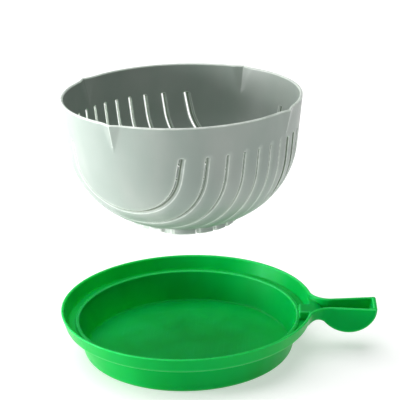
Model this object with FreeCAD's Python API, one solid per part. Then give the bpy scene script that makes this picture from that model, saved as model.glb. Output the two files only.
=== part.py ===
"""Salad cutter: a slotted strainer bowl held above its base tray, which has a hollow handle.

Millimetres. The origin is the middle of the tray's resting face, +X runs along the handle and +Z is up.
Each of the two mouldings is one solid, written to its own STEP file.
"""
import FreeCAD, Part
import math
import os
from FreeCAD import Vector

# ---- base tray ----
TRAY_HEIGHT = 40.0            # resting face to the rim
TRAY_WALL = 2.4               # thickness of all the tray's walls
RIM_RADIUS = 111.0            # outside of the raised ring, at the rim
RING_FOOT_RADIUS = 106.6      # outside of the ring, at its lower edge
RING_HEIGHT = 14.5            # rim to the underside of the ring
RING_EDGE_ROUND = 3.5         # round on the ring's lower outer edge
LIP_DROP = 10.5               # rim to the top of the lip round the basin
LIP_HEIGHT = 2.0              # the lip stands this far above the channel's floor
LIP_OVERHANG = 0.6            # the lip is this much wider than the basin below it
BASIN_TOP_RADIUS = 98.0       # outside of the basin, just below the ring
BASIN_FOOT_RADIUS = 91.4      # outside of the basin, drawn down to the resting face
BASIN_EDGE_ROUND = 5.0        # round between the basin's wall and the resting face
BASIN_NECK_ROUND = 1.5        # round between the basin's wall and the ring's underside
BASIN_FLOOR_RADIUS = 89.7     # inside, at the corner of the basin's floor and wall
BASIN_FLOOR_ROUND = 2.2       # round in that corner
LIP_ROUND = 1.2               # round on both edges of the lip's top
CHANNEL_LIP_ROUND = 0.7       # round in the channel, at the lip
CHANNEL_RING_ROUND = 1.5      # round in the channel, at the ring

# ---- hollow handle, part of the tray ----
HANDLE_END_X = 166.0          # outer end of the handle
HANDLE_END_WALL = 4.2         # thickness of its end wall
HANDLE_NECK_HALF_WIDTH = 9.4  # outside, where the neck begins
HANDLE_END_HALF_WIDTH = 14.2  # outside, at the end
NECK_X = 118.0                # where the neck's half width is measured
JUNCTION_ROUND = 16.0         # round between the ring and the handle's sides, seen from above
END_CORNER_ROUND = 3.0        # round at the handle's end, seen from above
NOTCH_DROP = 11.7             # rim to the top of the finger notch's arch
NOTCH_ROUND = 9.0             # radius of that arch
LOBE_RISE = 2.8               # centre of the lobe's arc, above the rim
LOBE_RADIUS = 26.3            # radius of the deep lobe, seen from the side
TROUGH_DROP = 4.5             # rim to the level floor of the trough's neck
TROUGH_ROUND = 6.0            # round where that floor falls into the lobe
BRIDGE_INNER_X = 97.5         # bridge across the channel, level with the trough's floor
BRIDGE_HALF_WIDTH = 8.6
BRIDGE_ROUND = 1.5            # round on the bridge's free edges

# ---- slotted bowl ----
BOWL_RADIUS = 100.6           # outside, at the rim
BOWL_HEIGHT = 108.5           # rim to the foot ring's resting face
BOWL_WALL = 2.5               # thickness of the bowl's wall
BELLY_ARC_X = 25.0            # centre of the belly's arc: distance from the bowl's axis
BELLY_ARC_DROP = 35.0         # centre of the belly's arc: distance below the rim
BELLY_ARC_RADIUS = 71.5       # outside radius of the belly's arc
FOOT_RADIUS = 46.0            # outside of the foot ring
FOOT_WALL = 3.0               # thickness of the foot ring
FOOT_ROOT = 0.8               # the foot ring is let this far into the belly
BOWL_RIM_ROUND = 0.9          # round on both edges of the bowl's rim
BOWL_LIFT = 82.0              # foot of the bowl above the tray's rim, as it is held to drain
BOWL_TURN = -29.0             # degrees from the handle to the way the slots run

# ---- knife slots ----
SLOT_COUNT = 14
SLOT_PITCH = 12.64
SLOT_WIDTH = 2.0
SLOT_TOP_DROP = 25.5          # rim to the round top end of every slot

# ---- ears: four corners in the bowl's rim ----
EAR_COUNT = 4
EAR_REACH = 3.2               # how far an ear's ridge stands out of the rim
EAR_HALF_WIDTH = 9.0          # half of an ear's width, along the rim
EAR_DROP = 25.0               # rim to where the ear's ridge dies into the wall
EAR_ROOT = 0.3                # the ear is let this far into the wall

ABOVE = 5.0                   # cutting solids stand this far above the faces they open
OVERLAP = 1.0                 # joined solids reach this far into each other
CLOSE = 0.01                  # a point this near a plane lies on it
RIM_BAND = 0.1                # edges within this depth of the bowl's rim belong to the rim
UP = Vector(0, 0, 1)
ORIGIN = Vector(0, 0, 0)


def line(start, end):
    return Part.LineSegment(start, end).toShape()


def arc(centre, radius, start_degrees, end_degrees):
    """Arc in the XZ plane about a centre, angles measured from +X towards +Z."""
    points = []
    for share in (0.0, 0.5, 1.0):
        angle = math.radians(start_degrees + share * (end_degrees - start_degrees))
        points.append(centre + Vector(radius * math.cos(angle), 0, radius * math.sin(angle)))
    return Part.Arc(*points).toShape(), points[0], points[-1]


def straight_runs(points):
    return [line(start, end) for start, end in zip(points, points[1:])]


def revolved(edges):
    """Solid of revolution about Z from a closed outline in the XZ plane."""
    return Part.Face(Part.Wire(edges)).revolve(ORIGIN, UP, 360)


def rounded_runs(corners, rounds):
    """Straight runs through (x, z) corners, with a tangent arc of the given radius at each middle corner."""
    corners = [Vector(x, 0, z) for x, z in corners]
    edges = []
    start = corners[0]
    for before, corner, after, radius in zip(corners, corners[1:], corners[2:], rounds):
        back = (before - corner).normalize()
        ahead = (after - corner).normalize()
        half_angle = back.getAngle(ahead) / 2
        first = corner + back * (radius / math.tan(half_angle))
        last = corner + ahead * (radius / math.tan(half_angle))
        crown = corner + (back + ahead).normalize() * (radius / math.sin(half_angle) - radius)
        edges.append(line(start, first))
        if radius > 0:
            edges.append(Part.Arc(first, crown, last).toShape())
        start = last
    edges.append(line(start, corners[-1]))
    return edges


# ---------------------------------------------------------------- base tray

RING_UNDERSIDE = TRAY_HEIGHT - RING_HEIGHT
LIP_TOP = TRAY_HEIGHT - LIP_DROP
CHANNEL_FLOOR = LIP_TOP - LIP_HEIGHT
RING_SLOPE = (RIM_RADIUS - RING_FOOT_RADIUS) / RING_HEIGHT
RIM_INNER_RADIUS = RIM_RADIUS - TRAY_WALL
CHANNEL_RADIUS = RIM_INNER_RADIUS - RING_SLOPE * (TRAY_HEIGHT - CHANNEL_FLOOR)


def tray_outside():
    """The tray without its handle, filled to the rim."""
    corners = [
        (0, 0),
        (BASIN_FOOT_RADIUS, 0),
        (BASIN_TOP_RADIUS, RING_UNDERSIDE),
        (RING_FOOT_RADIUS, RING_UNDERSIDE),
        (RIM_RADIUS, TRAY_HEIGHT),
        (0, TRAY_HEIGHT),
        (0, 0),
    ]
    return revolved(rounded_runs(corners, [BASIN_EDGE_ROUND, BASIN_NECK_ROUND, RING_EDGE_ROUND, 0, 0]))


def tray_inside():
    """The air in the basin, and in the channel between the basin's lip and the raised ring."""
    lip_outer_radius = BASIN_TOP_RADIUS + LIP_OVERHANG
    corners = [
        (0, TRAY_WALL),
        (BASIN_FLOOR_RADIUS, TRAY_WALL),
        (BASIN_TOP_RADIUS - TRAY_WALL, LIP_TOP),
        (lip_outer_radius, LIP_TOP),
        (lip_outer_radius, CHANNEL_FLOOR),
        (CHANNEL_RADIUS, CHANNEL_FLOOR),
        (RIM_INNER_RADIUS + RING_SLOPE * ABOVE, TRAY_HEIGHT + ABOVE),
        (0, TRAY_HEIGHT + ABOVE),
        (0, TRAY_WALL),
    ]
    rounds = [BASIN_FLOOR_ROUND, LIP_ROUND, LIP_ROUND, CHANNEL_LIP_ROUND, CHANNEL_RING_ROUND, 0, 0]
    return revolved(rounded_runs(corners, rounds))


def handle_from_above(inset, end_inset, root_radius, top):
    """Upright prism of the handle's plan, drawn in by the insets, with a tangent flare into the ring."""
    slope = (HANDLE_END_HALF_WIDTH - HANDLE_NECK_HALF_WIDTH) / (HANDLE_END_X - NECK_X)
    along = Vector(1, slope, 0).normalize()
    outward = Vector(-along.y, along.x, 0)
    side = Vector(NECK_X, HANDLE_NECK_HALF_WIDTH, 0) - outward * inset
    end_x = HANDLE_END_X - end_inset
    ring_radius = RIM_RADIUS - inset
    flare = JUNCTION_ROUND + inset

    # the flare's centre is one flare radius from the handle's side and from the ring
    offset = side + outward * flare
    drift = offset.dot(along)
    gap = ring_radius + flare
    flare_centre = offset + along * (math.sqrt(drift ** 2 - offset.dot(offset) + gap ** 2) - drift)
    on_ring = flare_centre * (ring_radius / gap)
    on_side = flare_centre - outward * flare
    flare_middle = ((on_ring - flare_centre) + (on_side - flare_centre)).normalize()

    corner_round = END_CORNER_ROUND - inset / 2
    corner = side + along * ((end_x - side.x) / along.x)
    corner_start = corner - along * corner_round
    corner_end = corner - Vector(0, corner_round, 0)
    corner_middle = corner + (corner_start + corner_end - corner * 2) * (1 - math.sqrt(0.5))

    root = on_ring * (root_radius / ring_radius)
    half = [
        line(root, on_ring),
        Part.Arc(on_ring, flare_centre + flare_middle * flare, on_side).toShape(),
        line(on_side, corner_start),
        Part.Arc(corner_start, corner_middle, corner_end).toShape(),
        line(corner_end, Vector(end_x, 0, 0)),
    ]
    other_half = [edge.mirror(ORIGIN, Vector(0, 1, 0)) for edge in half]
    closing = line(root, Vector(root.x, -root.y, 0))
    outline = Part.Wire(Part.__sortEdges__(half + other_half + [closing]))
    return Part.Face(outline).extrude(UP * top)


def handle_from_side(arch_top, arch_round, arch_start_degrees, inset):
    """Level prism of the handle's side view: an arch, then the deep round lobe drawn in by inset."""
    width = 4 * HANDLE_END_HALF_WIDTH
    lobe_radius = LOBE_RADIUS - inset
    lobe_centre = Vector(HANDLE_END_X - LOBE_RADIUS, -width, TRAY_HEIGHT + LOBE_RISE)

    # the arch touches the lobe's arc
    drop = lobe_centre.z - (arch_top - arch_round)
    span = math.sqrt((arch_round + lobe_radius) ** 2 - drop ** 2)
    arch_centre = lobe_centre - Vector(span, 0, drop)
    to_lobe = math.degrees(math.atan2(drop, span))

    arch, arch_start, _ = arc(arch_centre, arch_round, arch_start_degrees, to_lobe)
    lobe, _, lobe_end = arc(lobe_centre, lobe_radius, 180 + to_lobe, 360)
    top = TRAY_HEIGHT + ABOVE
    inner_x = CHANNEL_RADIUS - ABOVE * 2
    runs = straight_runs([
        lobe_end,
        Vector(lobe_end.x, -width, top),
        Vector(inner_x, -width, top),
        Vector(inner_x, -width, arch_start.z),
        arch_start,
    ])
    return Part.Face(Part.Wire([arch, lobe] + runs)).extrude(Vector(0, 2 * width, 0))


def bridge():
    """Low bridge across the channel, which carries the trough's floor on to the basin's lip."""
    low = CHANNEL_FLOOR - OVERLAP
    top = TRAY_HEIGHT - TROUGH_DROP
    block = Part.makeBox(RIM_INNER_RADIUS - BRIDGE_INNER_X, 2 * BRIDGE_HALF_WIDTH, top - low)
    block.translate(Vector(BRIDGE_INNER_X, -BRIDGE_HALF_WIDTH, low))
    free_edges = []
    for edge in block.Edges:
        box = edge.BoundBox
        at_inner_end = box.XMax < BRIDGE_INNER_X + CLOSE
        at_top = box.ZMin > top - CLOSE
        upright = box.ZMax - box.ZMin > CLOSE
        along = box.XMax - box.XMin > CLOSE
        if (at_top and (at_inner_end or along)) or (at_inner_end and upright):
            free_edges.append(edge)
    return block.makeFillet(BRIDGE_ROUND, free_edges)


def base_tray():
    notch_top = TRAY_HEIGHT - NOTCH_DROP
    notch_foot = 180 - math.degrees(math.asin((RING_UNDERSIDE - notch_top + NOTCH_ROUND) / NOTCH_ROUND))
    handle = handle_from_above(0, 0, RING_FOOT_RADIUS - TRAY_WALL, TRAY_HEIGHT)
    handle = handle.common(handle_from_side(notch_top, NOTCH_ROUND, notch_foot, 0))
    trough = handle_from_above(TRAY_WALL, HANDLE_END_WALL, CHANNEL_RADIUS - OVERLAP, TRAY_HEIGHT + ABOVE)
    trough = trough.common(handle_from_side(TRAY_HEIGHT - TROUGH_DROP, TROUGH_ROUND, 90, TRAY_WALL))
    body = tray_outside().fuse(handle)
    body = body.cut(tray_inside().fuse(trough))
    return body.fuse(bridge()).removeSplitter()


# ---------------------------------------------------------------- slotted bowl

BELLY_CENTRE = Vector(BELLY_ARC_X, 0, -BELLY_ARC_DROP)
TO_RIM = Vector(BOWL_RADIUS, 0, 0) - BELLY_CENTRE
# angle, seen from the belly's centre, of the point where the straight upper wall meets the belly's arc
TOUCH_ANGLE = math.atan2(TO_RIM.z, TO_RIM.x) - math.acos(BELLY_ARC_RADIUS / TO_RIM.Length)
WALL_LEAN = -math.tan(TOUCH_ANGLE)


def bowl_profile(inset, top):
    """Solid of revolution inside the bowl's skin, drawn in by inset. The rim is at z = 0."""
    touch = math.degrees(TOUCH_ANGLE)
    belly, belly_start, belly_end = arc(BELLY_CENTRE, BELLY_ARC_RADIUS - inset, touch, -90)
    wall_top = Vector(belly_start.x + WALL_LEAN * (top - belly_start.z), 0, top)
    runs = straight_runs([belly_end, Vector(0, 0, belly_end.z), Vector(0, 0, top), wall_top, belly_start])
    return revolved([belly] + runs)


def pyramid(base, apex):
    """Solid from a flat base outline and one apex."""
    faces = [Part.Face(Part.makePolygon(base + [base[0]]))]
    for start, end in zip(base, base[1:] + base[:1]):
        faces.append(Part.Face(Part.makePolygon([start, end, apex, start])))
    solid = Part.Solid(Part.Shell(faces))
    solid.fix(1e-6, 1e-6, 1e-6)
    return solid


def ear(inset, top):
    """One pointed corner of the rim, fading down into the wall, drawn in by inset. It points along +X."""
    outside = BOWL_RADIUS - inset
    foot = Vector(outside - EAR_DROP * WALL_LEAN - EAR_ROOT, 0, -EAR_DROP)
    root_x = math.sqrt(outside ** 2 - EAR_HALF_WIDTH ** 2) - EAR_ROOT
    at_rim = [
        Vector(outside + EAR_REACH, 0, 0),
        Vector(root_x, EAR_HALF_WIDTH, 0),
        Vector(root_x, -EAR_HALF_WIDTH, 0),
    ]
    stretch = 1 + top / EAR_DROP
    return pyramid([foot + (corner - foot) * stretch for corner in at_rim], foot)


def around(solid, count):
    """Copies of a solid, evenly spaced about Z."""
    copies = []
    for index in range(count):
        copy = solid.copy()
        copy.rotate(ORIGIN, UP, 360 * index / count)
        copies.append(copy)
    return copies


def knife_slot(offset):
    """Upright slab with a round top edge, running along X at an offset along Y."""
    end_z = -SLOT_TOP_DROP - SLOT_WIDTH / 2
    low_z = -BOWL_HEIGHT - ABOVE
    length = 2 * (BOWL_RADIUS + ABOVE)
    slab = Part.makeBox(length, SLOT_WIDTH, end_z - low_z)
    slab.translate(Vector(-length / 2, offset - SLOT_WIDTH / 2, low_z))
    crown = Part.makeCylinder(SLOT_WIDTH / 2, length, Vector(-length / 2, offset, end_z), Vector(1, 0, 0))
    return slab.fuse(crown).removeSplitter()


def foot_ring():
    """Low ring that the bowl stands on, let into the underside of the belly."""
    reach = math.sqrt((BELLY_ARC_RADIUS - FOOT_ROOT) ** 2 - (FOOT_RADIUS - BELLY_ARC_X) ** 2)
    height = BOWL_HEIGHT - BELLY_ARC_DROP - reach
    low = Vector(0, 0, -BOWL_HEIGHT)
    ring = Part.makeCylinder(FOOT_RADIUS, height, low)
    return ring.cut(Part.makeCylinder(FOOT_RADIUS - FOOT_WALL, height, low))


def slotted_bowl():
    outside = bowl_profile(0, 0).fuse(around(ear(0, 0), EAR_COUNT) + [foot_ring()])
    inside = bowl_profile(BOWL_WALL, ABOVE).fuse(around(ear(BOWL_WALL, ABOVE), EAR_COUNT))
    bowl = outside.cut(inside).removeSplitter()
    rim = [edge for edge in bowl.Edges if edge.BoundBox.ZMin > -RIM_BAND]
    bowl = bowl.makeFillet(BOWL_RIM_ROUND, rim)
    first = -SLOT_PITCH * (SLOT_COUNT - 1) / 2
    bowl = bowl.cut([knife_slot(first + SLOT_PITCH * index) for index in range(SLOT_COUNT)])
    bowl = bowl.removeSplitter()
    bowl.rotate(ORIGIN, UP, BOWL_TURN)
    bowl.translate(Vector(0, 0, TRAY_HEIGHT + BOWL_LIFT + BOWL_HEIGHT))
    return bowl


# ---------------------------------------------------------------- output

def write(node, shape):
    """Check that the node is one closed solid, and write its STEP file."""
    solid = shape.Solids[0]
    box = solid.BoundBox
    print(node, "solids", len(shape.Solids), "valid", solid.isValid())
    print("  volume cm3", round(solid.Volume / 1000, 1))
    for axis, low, high in zip("xyz", (box.XMin, box.YMin, box.ZMin), (box.XMax, box.YMax, box.ZMax)):
        print(" ", axis, round(low, 1), round(high, 1))
    solid.exportStep("parts/" + node + ".step")


os.makedirs("parts", exist_ok=True)
write("base_tray", base_tray())
write("slotted_bowl", slotted_bowl())
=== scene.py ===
"""Looks of the salad cutter: a slotted bowl held above its green base tray with a hollow handle.

Each moulding is described as a distance function, in millimetres in the frame's axes: negative inside the
plastic, positive in the air. A mesh is laid on its zero surface, so that every edge has a moulded round and
every normal comes from the exact shape. Both mouldings ride on the bodies of the CAD nodes they stand for.
"""
import math

import bpy
import numpy as np
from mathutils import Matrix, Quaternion, Vector


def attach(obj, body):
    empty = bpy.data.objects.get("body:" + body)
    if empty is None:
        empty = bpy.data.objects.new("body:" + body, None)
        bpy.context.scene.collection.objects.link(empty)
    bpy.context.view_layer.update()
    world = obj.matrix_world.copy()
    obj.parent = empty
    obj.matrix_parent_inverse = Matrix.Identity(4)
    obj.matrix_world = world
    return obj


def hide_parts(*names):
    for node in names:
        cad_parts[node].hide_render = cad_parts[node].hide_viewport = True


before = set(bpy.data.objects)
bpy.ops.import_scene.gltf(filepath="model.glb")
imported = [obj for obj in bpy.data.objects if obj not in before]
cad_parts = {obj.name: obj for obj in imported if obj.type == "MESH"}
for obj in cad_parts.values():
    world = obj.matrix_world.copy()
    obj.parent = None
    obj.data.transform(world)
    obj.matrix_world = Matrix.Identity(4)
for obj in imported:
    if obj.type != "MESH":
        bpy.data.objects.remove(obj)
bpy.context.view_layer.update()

MM = 0.001

# ---- base tray, millimetres ----
TRAY_HEIGHT = 40.0
TRAY_WALL = 2.4
RIM_RADIUS = 111.0            # outside of the raised ring, at the rim
RING_FOOT_RADIUS = 106.6      # outside of the ring, at its lower edge
RING_UNDERSIDE = 25.5
LOWER_EDGE_ROUND = 3.5        # round on the lower outer edge of the ring
HANDLE_EDGE_ROUND = 2.0       # the same on the handle
LIP_TOP = 29.5                # lip round the basin
CHANNEL_FLOOR = 27.5
LIP_OUTER_RADIUS = 98.6
BASIN_TOP_RADIUS = 98.0
BASIN_FOOT_RADIUS = 91.4
BASIN_EDGE_ROUND = 5.0
BASIN_NECK_ROUND = 1.5        # where the basin's wall meets the ring's underside
BASIN_FLOOR_RADIUS = 89.7     # inside, at the corner of floor and wall
BASIN_FLOOR_ROUND = 2.2
LIP_ROUND = 1.2
CHANNEL_LIP_ROUND = 0.7
CHANNEL_RING_ROUND = 1.5
RIM_ROUND = 1.15

# ---- hollow handle, millimetres ----
HANDLE_END_X = 166.0
NECK_X = 118.0
HANDLE_NECK_HALF_WIDTH = 9.4
HANDLE_END_HALF_WIDTH = 14.2
JUNCTION_ROUND = 16.0         # round between the ring and the handle's sides, seen from above
END_CORNER_ROUND = 3.0
NOTCH_Z = 19.3                # centre of the finger notch's arch
NOTCH_ROUND = 9.0
NOTCH_FOOT_ROUND = 1.5
LOBE_X = 139.7                # centre of the lobe's arc, seen from the side
LOBE_Z = 42.8
LOBE_RADIUS = 26.3
TROUGH_EDGE_ROUND = 1.1
TROUGH_FLOOR = 35.5           # level floor of the neck, which runs on as a bridge across the channel
TROUGH_DROP_ROUND = 6.0       # where that floor drops into the lobe
HANDLE_END_WALL = 4.2
BRIDGE_INNER_X = 97.5
BRIDGE_HALF_WIDTH = 8.6
BRIDGE_ROUND = 1.5

# ---- slotted bowl, millimetres ----
BOWL_RIM = 230.5
BOWL_FOOT = 122.0
BOWL_RADIUS = 100.6           # outside, at the rim
BOWL_WALL = 2.5
BELLY_X = 25.0                # centre of the belly's arc
BELLY_Z = 195.5
BELLY_RADIUS = 71.5
BOWL_TURN = -29.0             # degrees from the handle to the way the slots run
BOWL_RIM_ROUND = 1.2
FOOT_RADIUS = 46.0
FOOT_WALL = 3.0
FOOT_EDGE_ROUND = 0.8
FOOT_ROOT_ROUND = 1.5
SLOT_COUNT = 14
SLOT_PITCH = 12.64
SLOT_WIDTH = 2.0
SLOT_TOP = 205.0
SLOT_EDGE_ROUND = 0.65
LEAD_DEPTH = 1.2              # knife lead-in: how far the skin falls towards a slot, on its inner side
LEAD_WIDTH = 5.0              # measured along the skin
LEAD_LEAST = 0.05             # lower limit of its depth's share, where the slot is most on the slant
EAR_REACH = 3.2
EAR_HALF_WIDTH = 9.0
EAR_DROP = 25.0
EAR_RIDGE_ROUND = 0.5
EAR_ROOT_BLEND = 0.8
EAR_CLIP = 2 * EAR_HALF_WIDTH    # the corner's shape isn't followed further than this from its ridge
EAR_TOP_SHARE = 1.2           # its reach goes on growing above the rim, up to this share
EAR_GAIN = 4                  # its push dies out in the lowest quarter

# ---- wear, painted highlight and painted shade, millimetres ----
BOARD_FADE = 8.0              # knife marks die out over this width before the board's edge
BOARD_DEPTH = 0.3             # and are only within this depth of the board's face
FLOOR_RUB = 0.12              # share of the board's wear that the basin's floor shows
WEAR_FADE = 0.4               # rubbed areas and the slots' painted shade fade out over this depth
SLOT_SHADE_REACH = 0.3             # the slots' walls get painted shade up to this far from the slot's flat face
SLOT_SHADE_DEPTH = 0.5             # and from this far under each skin

ABOVE = 30.0                  # open outlines run on this far above the rim

# ---- mesh ----
TRAY_CELL = 0.8
BOWL_CELL = SLOT_PITCH / 24    # whole cells per slot, so that all slots mesh alike
MESH_MARGIN = 2.0
GRID_PHASE = (0, 0, 0.5)      # of a cell: keeps grid planes off the level faces
SLAB = 8                      # grid layers worked out at a time
GRADIENT_STEP = 0.02
LANDING_STEPS = 5
LONGEST_MOVE = 0.6            # of a cell, in one landing step
LEAST_SLOPE = 0.1             # lower limit of the squared slope that a landing step divides by
TINY = 1e-9                   # keeps a division off zero
EDGE_REACH = 0.35             # how far off the skin the edge measure looks
EDGE_FULL = 0.9               # bend of the skin, per millimetre, that counts as a sharp edge


# ---------------------------------------------------------------- distances

def union_round(a, b, radius):
    """Union of two solids, with a concave round where they meet."""
    gap = np.hypot(np.maximum(radius - a, 0), np.maximum(radius - b, 0))
    return np.maximum(np.minimum(a, b), radius) - gap


def meet_round(a, b, radius):
    """What two solids share, with a round on the edge between them."""
    gap = np.hypot(np.maximum(radius + a, 0), np.maximum(radius + b, 0))
    return np.minimum(np.maximum(a, b), -radius) + gap


def unit(vector):
    return vector / np.hypot(*vector)


def run(start, end):
    """Signed distance from a straight run. The solid is on its left."""
    along = end - start
    length = np.hypot(*along)
    along = along / length

    def distance(r, z):
        ahead = (r - start[0]) * along[0] + (z - start[1]) * along[1]
        aside = (r - start[0]) * along[1] - (z - start[1]) * along[0]
        beyond = ahead - np.clip(ahead, 0, length)
        return np.copysign(np.hypot(beyond, aside), aside)

    return distance


def bend(centre, radius, middle, half_sweep, bulging):
    """Signed distance from an arc. middle points to its middle, and a bulging arc has the solid inside."""
    side = 1 if bulging else -1
    reach = math.cos(half_sweep)

    def distance(r, z):
        out_r = r - centre[0]
        out_z = z - centre[1]
        out = np.hypot(out_r, out_z)
        in_sector = out_r * middle[0] + out_z * middle[1] >= out * reach
        return np.where(in_sector, side * (out - radius), np.inf)

    return distance


def rounded_outline(corners, rounds):
    """Runs through (r, z) corners with an arc at each middle corner. The solid is on the left."""
    corners = [np.array(corner, float) for corner in corners]
    parts = []
    start = corners[0]
    for before, corner, after, radius in zip(corners, corners[1:], corners[2:], rounds):
        back = unit(before - corner)
        ahead = unit(after - corner)
        half_angle = math.acos(np.dot(back, ahead)) / 2
        inward = unit(back + ahead)
        reach = radius / math.tan(half_angle)
        bulging = back[1] * ahead[0] - back[0] * ahead[1] > 0
        parts.append(run(start, corner + back * reach))
        centre = corner + inward * (radius / math.sin(half_angle))
        parts.append(bend(centre, radius, -inward, math.pi / 2 - half_angle, bulging))
        start = corner + ahead * reach
    parts.append(run(start, corners[-1]))
    return parts


def outline_distance(parts, r, z):
    """Signed distance from an outline: that of its nearest part."""
    nearest = parts[0](r, z)
    for part in parts[1:]:
        other = part(r, z)
        nearest = np.where(np.abs(other) < np.abs(nearest), other, nearest)
    return nearest


# ---------------------------------------------------------------- base tray

RING_LEAN = (RIM_RADIUS - RING_FOOT_RADIUS) / (TRAY_HEIGHT - RING_UNDERSIDE)
RIM_INNER_RADIUS = RIM_RADIUS - TRAY_WALL
CHANNEL_RADIUS = RIM_INNER_RADIUS - RING_LEAN * (TRAY_HEIGHT - CHANNEL_FLOOR)
BASIN_LEAN = (BASIN_TOP_RADIUS - BASIN_FOOT_RADIUS) / RING_UNDERSIDE

BASIN_OUTSIDE = rounded_outline(
    [
        (0, 0),
        (BASIN_FOOT_RADIUS, 0),
        (BASIN_TOP_RADIUS + BASIN_LEAN * ABOVE, RING_UNDERSIDE + ABOVE),
    ],
    [BASIN_EDGE_ROUND],
)
TRAY_INSIDE = rounded_outline(
    [
        (0, TRAY_WALL),
        (BASIN_FLOOR_RADIUS, TRAY_WALL),
        (BASIN_TOP_RADIUS - TRAY_WALL, LIP_TOP),
        (LIP_OUTER_RADIUS, LIP_TOP),
        (LIP_OUTER_RADIUS, CHANNEL_FLOOR),
        (CHANNEL_RADIUS, CHANNEL_FLOOR),
        (RIM_INNER_RADIUS + RING_LEAN * ABOVE, TRAY_HEIGHT + ABOVE),
    ],
    [BASIN_FLOOR_ROUND, LIP_ROUND, LIP_ROUND, CHANNEL_LIP_ROUND, CHANNEL_RING_ROUND],
)


def plan_distance(x, y, z, inset, end_inset):
    """Ring and handle seen from above, at each height, joined by a wide round."""
    slope = (HANDLE_END_HALF_WIDTH - HANDLE_NECK_HALF_WIDTH) / (HANDLE_END_X - NECK_X)
    half_width = HANDLE_NECK_HALF_WIDTH + slope * (x - NECK_X)
    side = (np.abs(y) - half_width) / math.hypot(1, slope) + inset
    bar = meet_round(side, x - HANDLE_END_X + end_inset, END_CORNER_ROUND - inset / 2)
    ring_radius = RIM_RADIUS - inset - RING_LEAN * (TRAY_HEIGHT - z)
    ring = (np.hypot(x, y) - ring_radius) / math.hypot(1, RING_LEAN)
    return union_round(bar, ring, JUNCTION_ROUND + inset)


# the notch's arch touches the lobe's arc
LOBE_DROP = LOBE_Z - NOTCH_Z
LOBE_SPAN = math.sqrt((NOTCH_ROUND + LOBE_RADIUS) ** 2 - LOBE_DROP ** 2)
NOTCH_X = LOBE_X - LOBE_SPAN
TOUCH_X = NOTCH_X + NOTCH_ROUND * LOBE_SPAN / (NOTCH_ROUND + LOBE_RADIUS)


def lobe_distance(x, z, inset):
    return np.hypot(x - LOBE_X, z - LOBE_Z) - LOBE_RADIUS + inset


def side_outside(x, z):
    """Ring and handle seen from the side: level underside, arch of the notch, round lobe."""
    notch = NOTCH_ROUND - np.hypot(x - NOTCH_X, z - NOTCH_Z)
    neck = meet_round(RING_UNDERSIDE - z, notch, NOTCH_FOOT_ROUND)
    neck = np.maximum(neck, x - TOUCH_X)
    return np.minimum(neck, lobe_distance(x, z, 0))


def tray_distance(x, y, z):
    radius = np.hypot(x, y)
    edge_round = np.interp(x, (RING_FOOT_RADIUS, NECK_X), (LOWER_EDGE_ROUND, HANDLE_EDGE_ROUND))
    ring = meet_round(plan_distance(x, y, z, 0, 0), side_outside(x, z), edge_round)
    outside = union_round(ring, outline_distance(BASIN_OUTSIDE, radius, z), BASIN_NECK_ROUND)
    trough = union_round(TROUGH_FLOOR - z, lobe_distance(x, z, TRAY_WALL), TROUGH_DROP_ROUND)
    trough = meet_round(plan_distance(x, y, z, TRAY_WALL, HANDLE_END_WALL), trough, TROUGH_EDGE_ROUND)
    bridge = meet_round(np.abs(y) - BRIDGE_HALF_WIDTH, z - TROUGH_FLOOR, BRIDGE_ROUND)
    bridge = meet_round(bridge, BRIDGE_INNER_X - x, BRIDGE_ROUND)
    bridge = np.maximum(bridge, x - RIM_INNER_RADIUS)
    air = np.minimum(trough, outline_distance(TRAY_INSIDE, radius, z))
    air = np.maximum(air, -bridge)
    return meet_round(np.maximum(outside, -air), z - TRAY_HEIGHT, RIM_ROUND)


def tray_wear(x, y, z):
    """How much knives have scored the plastic.

    The flat underside is the cutting board, and food rubs the basin's floor.
    """
    radius = np.hypot(x, y)
    within = np.clip((BASIN_FLOOR_RADIUS - radius) / BOARD_FADE, 0, 1)
    underside = np.clip(1 - z / BOARD_DEPTH, 0, 1)
    floor = np.clip(1 - np.abs(z - TRAY_WALL) / BOARD_DEPTH, 0, 1)
    return within * (underside + FLOOR_RUB * floor)


# ---------------------------------------------------------------- slotted bowl

def bowl_outline():
    """Level floor, round belly, and the straight upper wall that touches it and leads to the rim."""
    to_rim = (BOWL_RADIUS - BELLY_X, BOWL_RIM - BELLY_Z)
    touch = math.atan2(to_rim[1], to_rim[0]) - math.acos(BELLY_RADIUS / math.hypot(*to_rim))
    low = -math.pi / 2
    middle = (low + touch) / 2
    way = np.array((math.cos(middle), math.sin(middle)))
    centre = np.array((BELLY_X, BELLY_Z))
    wall_foot = centre + BELLY_RADIUS * np.array((math.cos(touch), math.sin(touch)))
    wall_way = np.array((-math.sin(touch), math.cos(touch)))
    floor_z = BELLY_Z - BELLY_RADIUS
    return [
        run(np.array((0, floor_z)), np.array((BELLY_X, floor_z))),
        bend(centre, BELLY_RADIUS, way, (touch - low) / 2, True),
        run(wall_foot, wall_foot + wall_way * (BOWL_RIM - BELLY_Z + ABOVE)),
    ]


BOWL_OUTLINE = bowl_outline()


def ear_push(along, across, z):
    """How far the wall is pushed out by the four corners of the rim. Their faces are flat."""
    fade = np.clip((z - BOWL_RIM + EAR_DROP) / EAR_DROP, 0, EAR_TOP_SHARE)
    slope = EAR_REACH / EAR_HALF_WIDTH + EAR_HALF_WIDTH / (2 * BOWL_RADIUS)
    near = np.minimum(np.minimum(np.abs(along), np.abs(across)), EAR_CLIP)
    ridge = np.sqrt(near ** 2 + EAR_RIDGE_ROUND ** 2) - EAR_RIDGE_ROUND
    raw = EAR_REACH * fade - slope * ridge + near ** 2 / (2 * BOWL_RADIUS)
    push = (raw + np.sqrt(raw ** 2 + EAR_ROOT_BLEND ** 2)) / 2
    return push * np.minimum(fade * EAR_GAIN, 1)


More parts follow.
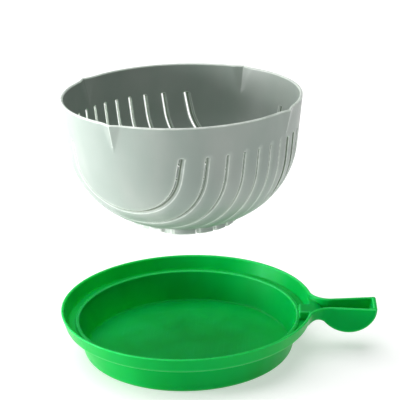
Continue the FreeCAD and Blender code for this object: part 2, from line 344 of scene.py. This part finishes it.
def slot_distance(across, z):
    """Distance from the nearest slot, and the way across from it towards the bowl's middle plane."""
    place = np.clip(np.floor(across / SLOT_PITCH), -SLOT_COUNT // 2, SLOT_COUNT // 2 - 1) + 0.5
    aside = across - place * SLOT_PITCH
    rise = np.maximum(z - SLOT_TOP + SLOT_WIDTH / 2, 0)
    return np.hypot(aside, rise) - SLOT_WIDTH / 2, -np.sign(place) * aside


def lead_in(across, radius, z):
    """Distance from the nearest slot, depth of its knife lead-in and the knife's rub beside it.

    Depth and rub are shares from 0 to 1. The lead-in is on the slot's inner side, and fades where the slot
    cuts through the wall on the slant. There the blade leans on the slot's outer side. The rub is drawn pale,
    both as scuffing and as a painted highlight beside the slots.
    """
    slot, inward = slot_distance(across, z)
    steep = across / np.maximum(radius, 1) * np.clip((radius - BELLY_X) / BELLY_RADIUS, 0, 1)
    straight = np.maximum(1 - steep ** 2, LEAD_LEAST)
    near = 1 - np.clip(slot / np.sqrt(straight) / LEAD_WIDTH, 0, 1)
    inner_side = np.clip(inward / SLOT_WIDTH + 0.5, 0, 1)
    depth = near ** 2 * inner_side * straight
    return slot, depth, depth + near ** 2 * (1 - inner_side) * steep ** 2


def bowl_distance(along, across, z):
    """Distance in the bowl's own axes: along the slots, across them, and up."""
    radius = np.hypot(along, across)
    slot, depth, _ = lead_in(across, radius, z)
    lead = LEAD_DEPTH * depth
    outside = outline_distance(BOWL_OUTLINE, radius - ear_push(along, across, z), z)
    middle = outside + BOWL_WALL / 2
    skin = np.maximum(outside + lead, -outside - BOWL_WALL)
    skin = meet_round(skin, z - BOWL_RIM, BOWL_RIM_ROUND)
    foot = np.abs(radius - FOOT_RADIUS + FOOT_WALL / 2) - FOOT_WALL / 2
    foot = meet_round(foot, BOWL_FOOT - z, FOOT_EDGE_ROUND)
    foot = np.maximum(foot, -middle)
    solid = union_round(skin, foot, FOOT_ROOT_ROUND)
    return meet_round(solid, -slot, SLOT_EDGE_ROUND)


def bowl_wear_and_painted_light(along, across, z):
    """How far a knife has scuffed the skin, most in the lead-ins. Drawn pale, this also paints highlights
    beside the slots.

    It's negative on the slots' walls, where it paints shade.
    """
    radius = np.hypot(along, across)
    outside = outline_distance(BOWL_OUTLINE, radius, z)
    slot, _, rub_and_highlight = lead_in(across, radius, z)
    on_skin = np.clip(1 + (outside + LEAD_DEPTH) / WEAR_FADE, 0, 1)
    in_slot = np.clip((SLOT_SHADE_REACH - slot) / SLOT_SHADE_REACH, 0, 1)
    below = np.clip((-outside - SLOT_SHADE_DEPTH) / WEAR_FADE, 0, 1)
    above = np.clip((outside + BOWL_WALL - SLOT_SHADE_DEPTH) / WEAR_FADE, 0, 1)
    return rub_and_highlight * on_skin - in_slot * below * above


# ---------------------------------------------------------------- mesh on a zero surface

def inside_grid(distance, axes):
    """For each grid point, whether it's inside the solid."""
    inside = np.zeros([len(axis) for axis in axes], bool)
    y, z = axes[1][None, :, None], axes[2][None, None, :]
    for first in range(0, len(axes[0]), SLAB):
        layers = axes[0][first:first + SLAB]
        x = layers[:, None, None] + 0 * y + 0 * z
        inside[first:first + SLAB] = distance(x, y + 0 * x, z + 0 * x) < 0
    return inside


def net_quads(inside, number):
    """One quad across each grid edge that goes through the surface, facing out of the solid."""
    quads = []
    for axis in range(3):
        second, third = (axis + 1) % 3, (axis + 2) % 3
        near = np.moveaxis(inside, (axis, second, third), (0, 1, 2))
        cells = np.moveaxis(number, (axis, second, third), (0, 1, 2))
        solid_first = near[:-1, 1:-1, 1:-1]
        crossed = solid_first != near[1:, 1:-1, 1:-1]
        ring = [cells[:, :-1, :-1], cells[:, 1:, :-1], cells[:, 1:, 1:], cells[:, :-1, 1:]]
        loop = np.stack([corner[crossed] for corner in ring], axis=1)
        backward = ~solid_first[crossed]
        loop[backward] = loop[backward][:, ::-1]
        quads.append(loop)
    return np.concatenate(quads)


def distance_and_slope(distance, points):
    x, y, z = points.T
    h = GRADIENT_STEP
    slope = np.stack(
        [
            distance(x + h, y, z) - distance(x - h, y, z),
            distance(x, y + h, z) - distance(x, y - h, z),
            distance(x, y, z + h) - distance(x, y, z - h),
        ],
        axis=1,
    )
    return distance(x, y, z), slope / (2 * h)


def land(distance, points, cell):
    """Moves points on to the zero surface and returns them with their outward normals."""
    for _ in range(LANDING_STEPS):
        value, slope = distance_and_slope(distance, points)
        move = -value[:, None] * slope / np.maximum(np.sum(slope ** 2, axis=1), LEAST_SLOPE)[:, None]
        length = np.linalg.norm(move, axis=1, keepdims=True)
        points = points + move * np.minimum(1, LONGEST_MOVE * cell / np.maximum(length, TINY))
    _, slope = distance_and_slope(distance, points)
    return points, slope / np.linalg.norm(slope, axis=1, keepdims=True)


def edge_measure(distance, points):
    """1 on sharp outer edges, -1 in sharp inner corners, 0 where the skin is smooth."""
    x, y, z = points.T
    h = EDGE_REACH
    around = (
        distance(x + h, y, z) + distance(x - h, y, z)
        + distance(x, y + h, z) + distance(x, y - h, z)
        + distance(x, y, z + h) + distance(x, y, z - h)
    )
    bend_of_skin = (around - 6 * distance(x, y, z)) / h ** 2
    return np.clip(bend_of_skin / EDGE_FULL, -1, 1)


def keep_measure(mesh, name, values):
    """Stores one number per vertex, for the materials to read."""
    layer = mesh.attributes.new(name, "FLOAT", "POINT")
    layer.data.foreach_set("value", values.astype(np.float32))


def grid_lines(low, high, cell, phase):
    first = math.floor((low - MESH_MARGIN) / cell)
    last = math.ceil((high + MESH_MARGIN) / cell)
    return (np.arange(first, last + 1) + phase) * cell


def turned(vectors, degrees):
    """Vectors turned about the upright axis."""
    cos, sin = math.cos(math.radians(degrees)), math.sin(math.radians(degrees))
    return vectors @ np.array([[cos, sin, 0], [-sin, cos, 0], [0, 0, 1]])


def moulding(name, distance, wear_and_painted_light, low, high, cell, turn):
    """Mesh object of one moulding's surface, turned from its own axes into the frame's by turn degrees.

    wear_and_painted_light gives the piece's own measure for its material: knife scoring, and on the bowl also
    painted highlights beside the slots and painted shade in them.
    """
    axes = [grid_lines(a, b, cell, phase) for a, b, phase in zip(low, high, GRID_PHASE)]
    inside = inside_grid(distance, axes)
    count = np.zeros([len(axis) - 1 for axis in axes], np.int8)
    for corner in np.ndindex(2, 2, 2):
        count += inside[tuple(slice(c, c - 1 or None) for c in corner)]
    mixed = (count > 0) & (count < 8)
    number = np.full(mixed.shape, -1)
    number[mixed] = np.arange(np.count_nonzero(mixed))
    quads = net_quads(inside, number)
    start = np.array([axis[0] for axis in axes])
    points = start + (np.argwhere(mixed) + 0.5) * cell
    points, normals = land(distance, points, cell)
    mesh = bpy.data.meshes.new(name)
    mesh.vertices.add(len(points))
    mesh.vertices.foreach_set("co", (turned(points, turn) * MM).ravel())
    mesh.loops.add(quads.size)
    mesh.loops.foreach_set("vertex_index", quads.ravel())
    mesh.polygons.add(len(quads))
    mesh.polygons.foreach_set("loop_start", np.arange(0, quads.size, 4))
    mesh.polygons.foreach_set("use_smooth", np.ones(len(quads), bool))
    mesh.update(calc_edges=True)
    mesh.validate()
    mesh.normals_split_custom_set_from_vertices(turned(normals, turn))
    keep_measure(mesh, "edge", edge_measure(distance, points))
    keep_measure(mesh, "wear_and_painted_light", wear_and_painted_light(*points.T))
    piece = bpy.data.objects.new(name, mesh)
    bpy.context.scene.collection.objects.link(piece)
    return piece


# ---------------------------------------------------------------- materials

# Noise scales are per metre. A band is the noise from which, and up to which, an effect grows. A map is a
# band followed by the two values that it leads to.
CLOUD_SCALE = 14.0
CLOUD_BAND = (0.35, 0.65)
FLOW_SCALE = 26.0
FLOW_DETAIL = 4.0
FLOW_STRETCH = (1, 1, 0.25)   # flow lines run upright
FLOW_BAND = (0.42, 0.6)
PATCH_SCALE = 180.0           # small patches that break up rubbed and worn areas and the painted highlights on them
PATCH_DETAIL = 4.0
EDGE_PATCH_MAP = (0.3, 0.6, 0.6, 1)
WEAR_PATCH_MAP = (0.25, 0.65, 0.55, 1)
EDGE_BAND = (0.2, 0.9)        # of the edge measure, on outer edges, which are drawn pale as scuffing and as painted highlight
CORNER_SHADE_BAND = (-0.9, -0.2)    # and in inner corners, which are darkened as painted shade
GLOSS_SCALE = 60.0
GLOSS_BAND = (0.3, 0.7)
WORN_ROUGHER = 0.12           # added to the roughness of worn areas
RUBBED_ROUGHER = -0.08        # and of rubbed edges, which are polished

SCRATCH_TURNS = (12, 74, 141)    # degrees
SCRATCH_SHORTEN = 0.03        # scale of the noise along a scratch, as a share of that across it
SCRATCH_BAND = (0.62, 0.70)
SCRATCH_BREAK_SCALE = 30.0    # patches with and without scratches
SCRATCH_BREAK_BAND = (0.4, 0.6)

# noise scale, noise detail, depth in metres and strength
GRAIN_BUMP = (1400.0, 2.0, 0.00005, 0.3)
WAVE_BUMP = (35.0, 1.0, 0.0004, 0.12)
CUT_DEPTH = 0.0002
CUT_STRENGTH = 0.6


class Nodes:
    """Builds one material's node tree."""

    def __init__(self, name):
        self.material = bpy.data.materials.new(name)
        self.material.use_nodes = True
        self.tree = self.material.node_tree
        self.shader = self.tree.nodes["Principled BSDF"]

    def add(self, kind, **settings):
        node = self.tree.nodes.new(kind)
        for name, value in settings.items():
            setattr(node, name, value)
        return node

    def link(self, source, target):
        self.tree.links.new(source, target)

    def place(self, stretch=(1, 1, 1)):
        """Coordinates in metres that stay with the piece."""
        coordinates = self.add("ShaderNodeTexCoord")
        mapping = self.add("ShaderNodeMapping")
        mapping.inputs["Scale"].default_value = stretch
        self.link(coordinates.outputs["Object"], mapping.inputs["Vector"])
        return mapping.outputs["Vector"]

    def noise(self, scale, detail=3.0, stretch=(1, 1, 1)):
        node = self.add("ShaderNodeTexNoise")
        node.inputs["Scale"].default_value = scale
        node.inputs["Detail"].default_value = detail
        self.link(self.place(stretch), node.inputs["Vector"])
        return node.outputs["Fac"]

    def range(self, value, low, high, to_low, to_high):
        node = self.add("ShaderNodeMapRange")
        for name, number in zip(("From Min", "From Max", "To Min", "To Max"), (low, high, to_low, to_high)):
            node.inputs[name].default_value = number
        self.link(value, node.inputs["Value"])
        return node.outputs["Result"]

    def blend(self, share, first, second):
        """Colour from first to second by share. Each is a colour or a socket."""
        node = self.add("ShaderNodeMix", data_type="RGBA")
        self.link(share, node.inputs["Factor"])
        for name, value in (("A", first), ("B", second)):
            socket = [s for s in node.inputs if s.name == name and s.type == "RGBA"][0]
            if isinstance(value, tuple):
                socket.default_value = (*value, 1)
            else:
                self.link(value, socket)
        return [s for s in node.outputs if s.type == "RGBA"][0]

    def attribute(self, name):
        return self.add("ShaderNodeAttribute", attribute_name=name).outputs["Fac"]

    def maths(self, operation, first, second):
        node = self.add("ShaderNodeMath", operation=operation)
        self.link(first, node.inputs[0])
        self.link(second, node.inputs[1])
        return node.outputs["Value"]

    def times(self, first, second):
        return self.maths("MULTIPLY", first, second)

    def plus(self, first, second):
        return self.maths("ADD", first, second)

    def scratches(self, scale):
        """Thin straight marks in three directions, broken up by noise."""
        marks = None
        for turn in SCRATCH_TURNS:
            mapping = self.add("ShaderNodeMapping")
            mapping.inputs["Rotation"].default_value = (0, 0, math.radians(turn))
            mapping.inputs["Scale"].default_value = (scale, scale * SCRATCH_SHORTEN, scale)
            self.link(self.place(), mapping.inputs["Vector"])
            streak = self.add("ShaderNodeTexNoise")
            streak.inputs["Scale"].default_value = 1.0
            streak.inputs["Detail"].default_value = 1.0
            self.link(mapping.outputs["Vector"], streak.inputs["Vector"])
            mark = self.range(streak.outputs["Fac"], *SCRATCH_BAND, 0, 1)
            marks = mark if marks is None else self.maths("MAXIMUM", marks, mark)
        return self.times(marks, self.range(self.noise(SCRATCH_BREAK_SCALE), *SCRATCH_BREAK_BAND, 0, 1))

    def bump(self, height, distance, strength, below=None):
        node = self.add("ShaderNodeBump")
        node.inputs["Distance"].default_value = distance
        node.inputs["Strength"].default_value = strength
        self.link(height, node.inputs["Height"])
        if below is not None:
            self.link(below, node.inputs["Normal"])
        return node.outputs["Normal"]

    def noise_bump(self, scale, detail, distance, strength, below=None):
        return self.bump(self.noise(scale, detail), distance, strength, below)


def moulded_plastic(name, look):
    """Cloudy colour with flow lines, pale edges that are partly scuffed plastic and partly painted highlight,
    painted shade in inner corners and on the slots' walls, pale scuffs that also paint highlights beside the
    bowl's slots, knife marks and a fine grain.
    """
    nodes = Nodes(name)
    cloud = nodes.range(nodes.noise(CLOUD_SCALE), *CLOUD_BAND, 0, 1)
    flow = nodes.range(nodes.noise(FLOW_SCALE, FLOW_DETAIL, FLOW_STRETCH), *FLOW_BAND, 0, look["flow"])
    colour = nodes.blend(cloud, look["dark"], look["light"])
    colour = nodes.blend(flow, colour, look["flow_colour"])
    patchy = nodes.noise(PATCH_SCALE, PATCH_DETAIL)
    # pale outer edges: partly scuffed plastic, partly painted highlight
    edge = nodes.attribute("edge")
    rub_and_highlight = nodes.times(nodes.range(edge, *EDGE_BAND, 0, look["edge"]), nodes.range(patchy, *EDGE_PATCH_MAP))
    colour = nodes.blend(rub_and_highlight, colour, look["rub_and_highlight_colour"])
    # painted shade: inner corners are darkened
    corner = nodes.range(edge, *CORNER_SHADE_BAND, look["corner"], 0)
    colour = nodes.blend(corner, colour, look["corner_shade_colour"])
    # pale knife scuffs; on the bowl's lead-ins they are also painted highlights beside the slots
    wear_and_painted_light = nodes.attribute("wear_and_painted_light")
    worn_and_highlight = nodes.times(wear_and_painted_light, nodes.range(patchy, *WEAR_PATCH_MAP))
    colour = nodes.blend(nodes.range(worn_and_highlight, 0, 1, 0, look["wear_and_painted_light"]), colour, look["wear_and_highlight_colour"])
    # painted shade on the slots' walls, where the measure is negative
    colour = nodes.blend(nodes.range(wear_and_painted_light, -1, 0, look["slot_shade"], 0), colour, look["slot_shade_colour"])
    scratch = nodes.scratches(look["scratch_scale"])
    scored = nodes.times(wear_and_painted_light, scratch)
    colour = nodes.blend(nodes.range(scored, 0, 1, 0, look["scratch"]), colour, look["rub_and_highlight_colour"])
    nodes.link(colour, nodes.shader.inputs["Base Color"])

    roughness = nodes.range(nodes.noise(GLOSS_SCALE), *GLOSS_BAND, look["smooth"], look["rough"])
    roughness = nodes.plus(roughness, nodes.range(worn_and_highlight, 0, 1, 0, WORN_ROUGHER))
    roughness = nodes.plus(roughness, nodes.range(rub_and_highlight, 0, 1, 0, RUBBED_ROUGHER))
    nodes.link(roughness, nodes.shader.inputs["Roughness"])

    grain = nodes.noise_bump(*GRAIN_BUMP)
    wave = nodes.noise_bump(*WAVE_BUMP, grain)
    cuts = nodes.bump(nodes.range(scored, 0, 1, 1, 0), CUT_DEPTH, CUT_STRENGTH, wave)
    nodes.link(cuts, nodes.shader.inputs["Normal"])
    for socket, value in look["sockets"].items():
        nodes.shader.inputs[socket].default_value = value
    return nodes.material


GREEN = {
    "dark": (0.0, 0.325, 0.042),
    "light": (0.0, 0.38, 0.058),
    "flow": 0.35,
    "flow_colour": (0.002, 0.42, 0.072),
    # pale edges: scuffed plastic and a painted highlight along the rim and other outer edges
    "edge": 0.6,
    "rub_and_highlight_colour": (0.045, 0.60, 0.17),
    # painted shade in inner corners
    "corner": 0.4,
    "corner_shade_colour": (0.0, 0.25, 0.02),
    "wear_and_painted_light": 0.12,
    "wear_and_highlight_colour": (0.03, 0.50, 0.13),
    "slot_shade": 0.0,
    "slot_shade_colour": (0.0, 0.2, 0.02),
    "scratch": 0.8,
    "scratch_scale": 900.0,
    "smooth": 0.28,
    "rough": 0.40,
    "sockets": {
        "Specular IOR Level": 0.15,
        "Specular Tint": (0.12, 1.0, 0.45, 1.0),
        "Subsurface Weight": 0.6,
        "Subsurface Radius": (0.1, 1.0, 0.15),
        "Subsurface Scale": 0.008,
    },
}
WHITE = {
    # every colour here has a slight green tint: painted light, standing in for green light from food inside
    # the bowl and from the green tray
    "dark": (0.305, 0.355, 0.32),
    "light": (0.36, 0.405, 0.37),
    "flow": 0.5,
    "flow_colour": (0.265, 0.335, 0.295),
    # pale edges: scuffed plastic and a painted highlight along the rim and the slots' edges
    "edge": 0.75,
    "rub_and_highlight_colour": (0.80, 0.86, 0.80),
    # painted shade in inner corners
    "corner": 0.5,
    "corner_shade_colour": (0.22, 0.27, 0.22),
    # pale scuffs in the lead-ins, which also paint highlights beside the slots
    "wear_and_painted_light": 0.55,
    "wear_and_highlight_colour": (0.66, 0.72, 0.66),
    # painted shade on the slots' walls
    "slot_shade": 0.8,
    "slot_shade_colour": (0.11, 0.15, 0.085),
    "scratch": 0.3,
    "scratch_scale": 900.0,
    "smooth": 0.30,
    "rough": 0.44,
    "sockets": {
        "Subsurface Weight": 0.4,
        "Subsurface Radius": (0.9, 1.0, 0.9),
        "Subsurface Scale": 0.003,
    },
}


# ---------------------------------------------------------------- stage, light, camera

# metres, degrees and watts
FLOOR_HALF_SIZE = 6.0
FLOOR_DROP = 0.0002
FLOOR_ALBEDO = 0.62
FLOOR_GLOW = 0.5              # keeps the shadows pale
FLOOR_ROUGHNESS = 0.9
FLOOR_SPECULAR = 0.1
WORLD_STRENGTH = 0.15
SUN_STRENGTH = 2.9
SUN_ANGLE = 70
SUN_TURN = (-12, -14, 0)
LAMPS = (
    {"name": "key", "place": (-1.4, -0.25, 0.2), "target": (0, 0, 0.14), "size": 0.7, "watts": 36},
    {"name": "fill", "place": (0.4, -2.0, 0.5), "target": (0, 0, 0.08), "size": 1.0, "watts": 2.5},
)
CAMERA_PLACE = (0.0831, -1.0799, 0.5315)
CAMERA_TARGET = (0, 0, TRAY_HEIGHT * MM)
AIM_RIGHT = 0.01155           # the view's middle lies this far right of the target, per metre of distance
AIM_UP = 0.07568
CAMERA_ROLL = -1.42
LENS = 121.5                  # millimetres, and so is the sensor
SENSOR = 36.0
CLIP_START = 0.05
CLIP_END = 50


def stage_floor():
    mesh = bpy.data.meshes.new("floor")
    corners = [
        (x * FLOOR_HALF_SIZE, y * FLOOR_HALF_SIZE, -FLOOR_DROP)
        for x, y in ((-1, -1), (1, -1), (1, 1), (-1, 1))
    ]
    mesh.from_pydata(corners, [], [(0, 1, 2, 3)])
    floor = bpy.data.objects.new("floor", mesh)
    bpy.context.scene.collection.objects.link(floor)
    material = bpy.data.materials.new("floor_white")
    material.use_nodes = True
    shader = material.node_tree.nodes["Principled BSDF"]
    shader.inputs["Base Color"].default_value = (FLOOR_ALBEDO, FLOOR_ALBEDO, FLOOR_ALBEDO, 1)
    shader.inputs["Emission Color"].default_value = (1, 1, 1, 1)
    shader.inputs["Emission Strength"].default_value = FLOOR_GLOW
    shader.inputs["Roughness"].default_value = FLOOR_ROUGHNESS
    shader.inputs["Specular IOR Level"].default_value = FLOOR_SPECULAR
    mesh.materials.append(material)


def area_light(name, place, target, size, watts):
    light = bpy.data.lights.new(name, "AREA")
    light.shape = "DISK"
    light.size = size
    light.energy = watts
    lamp = bpy.data.objects.new(name, light)
    lamp.location = place
    lamp.rotation_mode = "QUATERNION"
    lamp.rotation_quaternion = (Vector(target) - Vector(place)).to_track_quat("-Z", "Y")
    bpy.context.scene.collection.objects.link(lamp)


def studio():
    world = bpy.data.worlds.new("studio")
    world.use_nodes = True
    background = world.node_tree.nodes["Background"]
    background.inputs["Color"].default_value = (1, 1, 1, 1)
    background.inputs["Strength"].default_value = WORLD_STRENGTH
    bpy.context.scene.world = world
    top = bpy.data.lights.new("top", "SUN")
    top.energy = SUN_STRENGTH
    top.angle = math.radians(SUN_ANGLE)
    lamp = bpy.data.objects.new("top", top)
    lamp.rotation_euler = [math.radians(degrees) for degrees in SUN_TURN]
    bpy.context.scene.collection.objects.link(lamp)
    for lamp_values in LAMPS:
        area_light(**lamp_values)
    bpy.context.scene.view_settings.view_transform = "Standard"


def camera():
    view = bpy.data.cameras.new("camera")
    view.lens = LENS
    view.sensor_width = SENSOR
    view.clip_start = CLIP_START
    view.clip_end = CLIP_END
    eye = bpy.data.objects.new("camera", view)
    place = Vector(CAMERA_PLACE)
    ahead = (Vector(CAMERA_TARGET) - place).normalized()
    right = ahead.cross(Vector((0, 0, 1))).normalized()
    up = right.cross(ahead)
    aim = (ahead + right * AIM_RIGHT + up * AIM_UP).normalized()
    eye.location = place
    eye.rotation_mode = "QUATERNION"
    roll = Quaternion((0, 0, 1), math.radians(CAMERA_ROLL))
    eye.rotation_quaternion = aim.to_track_quat("-Z", "Y") @ roll
    bpy.context.scene.collection.objects.link(eye)
    bpy.context.scene.camera = eye


# ---------------------------------------------------------------- put together

tray_low = (-RIM_RADIUS, -RIM_RADIUS, 0)
tray_high = (HANDLE_END_X, RIM_RADIUS, TRAY_HEIGHT)
tray = moulding("tray_moulding", tray_distance, tray_wear, tray_low, tray_high, TRAY_CELL, 0)
bowl_reach = BOWL_RADIUS + EAR_REACH
bowl_low = (-bowl_reach, -bowl_reach, BOWL_FOOT)
bowl_high = (bowl_reach, bowl_reach, BOWL_RIM)
bowl = moulding("bowl_moulding", bowl_distance, bowl_wear_and_painted_light, bowl_low, bowl_high, BOWL_CELL, BOWL_TURN)
tray.data.materials.append(moulded_plastic("green_plastic", GREEN))
bowl.data.materials.append(moulded_plastic("white_plastic", WHITE))
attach(tray, "tray")
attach(bowl, "bowl")
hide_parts("base_tray")
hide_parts("slotted_bowl")

stage_floor()
studio()
camera()
